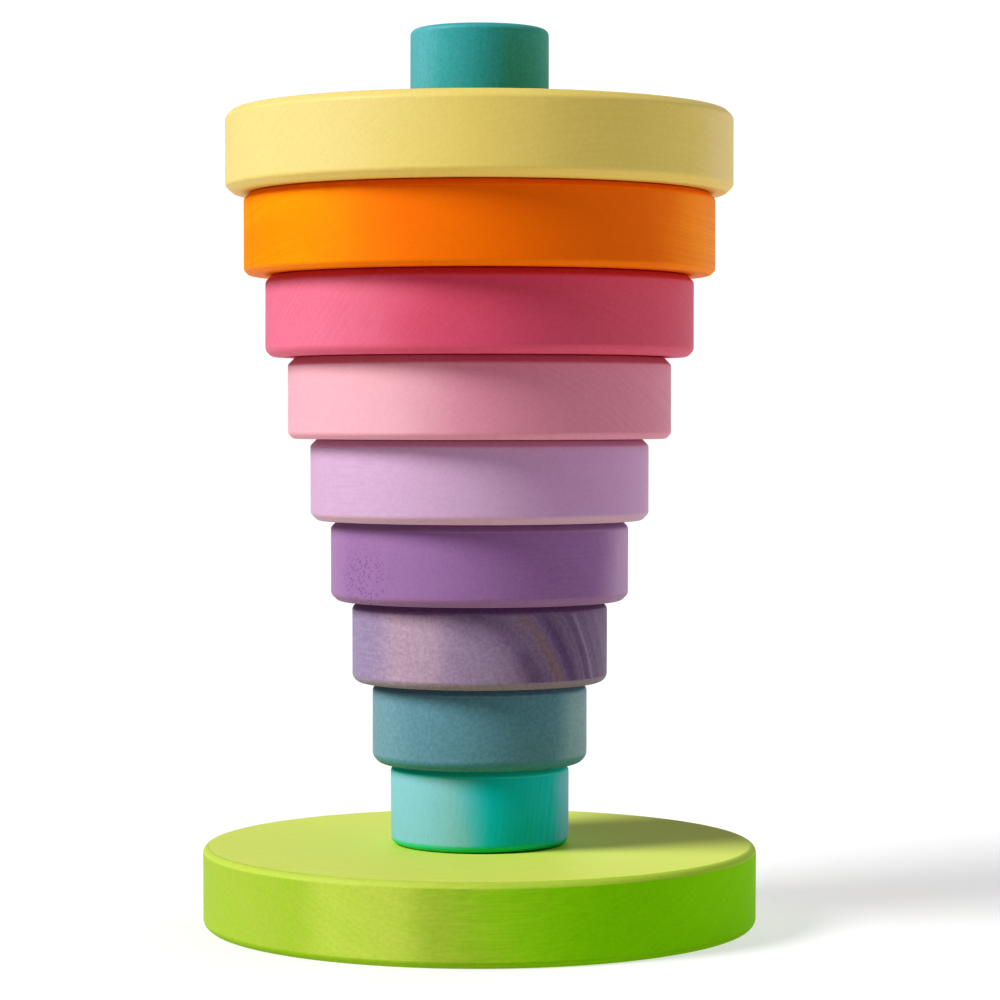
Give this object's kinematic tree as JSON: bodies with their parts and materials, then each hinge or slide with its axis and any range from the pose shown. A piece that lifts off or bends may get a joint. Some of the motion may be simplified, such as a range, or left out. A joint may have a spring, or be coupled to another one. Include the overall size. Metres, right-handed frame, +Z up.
{
  "type": "stacking tower",
  "caption": "Conical wooden stacking tower: stained rings of stepped widths and a small cap lift on and off a post glued into a round base.",
  "frame": {"origin": "centre of the underside of the base, on the axis of the post", "axes": "+Z up along the post, towards the cap; X and Y are free, because every piece is turned about Z"},
  "size_m": [0.13, 0.13, 0.2098],
  "materials": {
    "lime_stain": "water-based lime green stain, matte",
    "bare_wood": "unstained, sanded",
    "mint_stain": "water-based mint stain, matte",
    "blue_stain": "water-based teal blue stain, matte",
    "heather_stain": "water-based grey heather stain, matte, grain showing",
    "purple_stain": "water-based purple stain, matte",
    "lilac_stain": "water-based lilac stain, matte",
    "pink_stain": "water-based light pink stain, matte",
    "raspberry_stain": "water-based raspberry stain, matte",
    "orange_stain": "water-based orange stain, matte",
    "yellow_stain": "water-based pale yellow stain, matte",
    "teal_stain": "water-based teal stain, matte"
  },
  "bodies": {
    "base": {"base_plate": "lime_stain", "center_post": "bare_wood"},
    "mint": {"ring_mint": "mint_stain"},
    "blue": {"ring_blue": "blue_stain"},
    "heather": {"ring_heather": "heather_stain"},
    "purple": {"ring_purple": "purple_stain"},
    "lilac": {"ring_lilac": "lilac_stain"},
    "pink": {"ring_pink": "pink_stain"},
    "raspberry": {"ring_raspberry": "raspberry_stain"},
    "orange": {"ring_orange": "orange_stain"},
    "yellow": {"ring_yellow": "yellow_stain"},
    "cap": {"top_cap": "teal_stain"}
  },
  "joints": [
    {"name": "mint_lift", "type": "slide", "parent": "base", "child": "mint", "axis": [0, 0, 1], "range_m": [0, 0.185]},
    {"name": "blue_lift", "type": "slide", "parent": "mint", "child": "blue", "axis": [0, 0, 1], "range_m": [0, 0.166]},
    {"name": "heather_lift", "type": "slide", "parent": "blue", "child": "heather", "axis": [0, 0, 1], "range_m": [0, 0.147]},
    {"name": "purple_lift", "type": "slide", "parent": "heather", "child": "purple", "axis": [0, 0, 1], "range_m": [0, 0.128]},
    {"name": "lilac_lift", "type": "slide", "parent": "purple", "child": "lilac", "axis": [0, 0, 1], "range_m": [0, 0.109]},
    {"name": "pink_lift", "type": "slide", "parent": "lilac", "child": "pink", "axis": [0, 0, 1], "range_m": [0, 0.09]},
    {"name": "raspberry_lift", "type": "slide", "parent": "pink", "child": "raspberry", "axis": [0, 0, 1], "range_m": [0, 0.071]},
    {"name": "orange_lift", "type": "slide", "parent": "raspberry", "child": "orange", "axis": [0, 0, 1], "range_m": [0, 0.052]},
    {"name": "yellow_lift", "type": "slide", "parent": "orange", "child": "yellow", "axis": [0, 0, 1], "range_m": [0, 0.032]},
    {"name": "cap_lift", "type": "slide", "parent": "yellow", "child": "cap", "axis": [0, 0, 1], "range_m": [0, 0.014]}
  ]
}
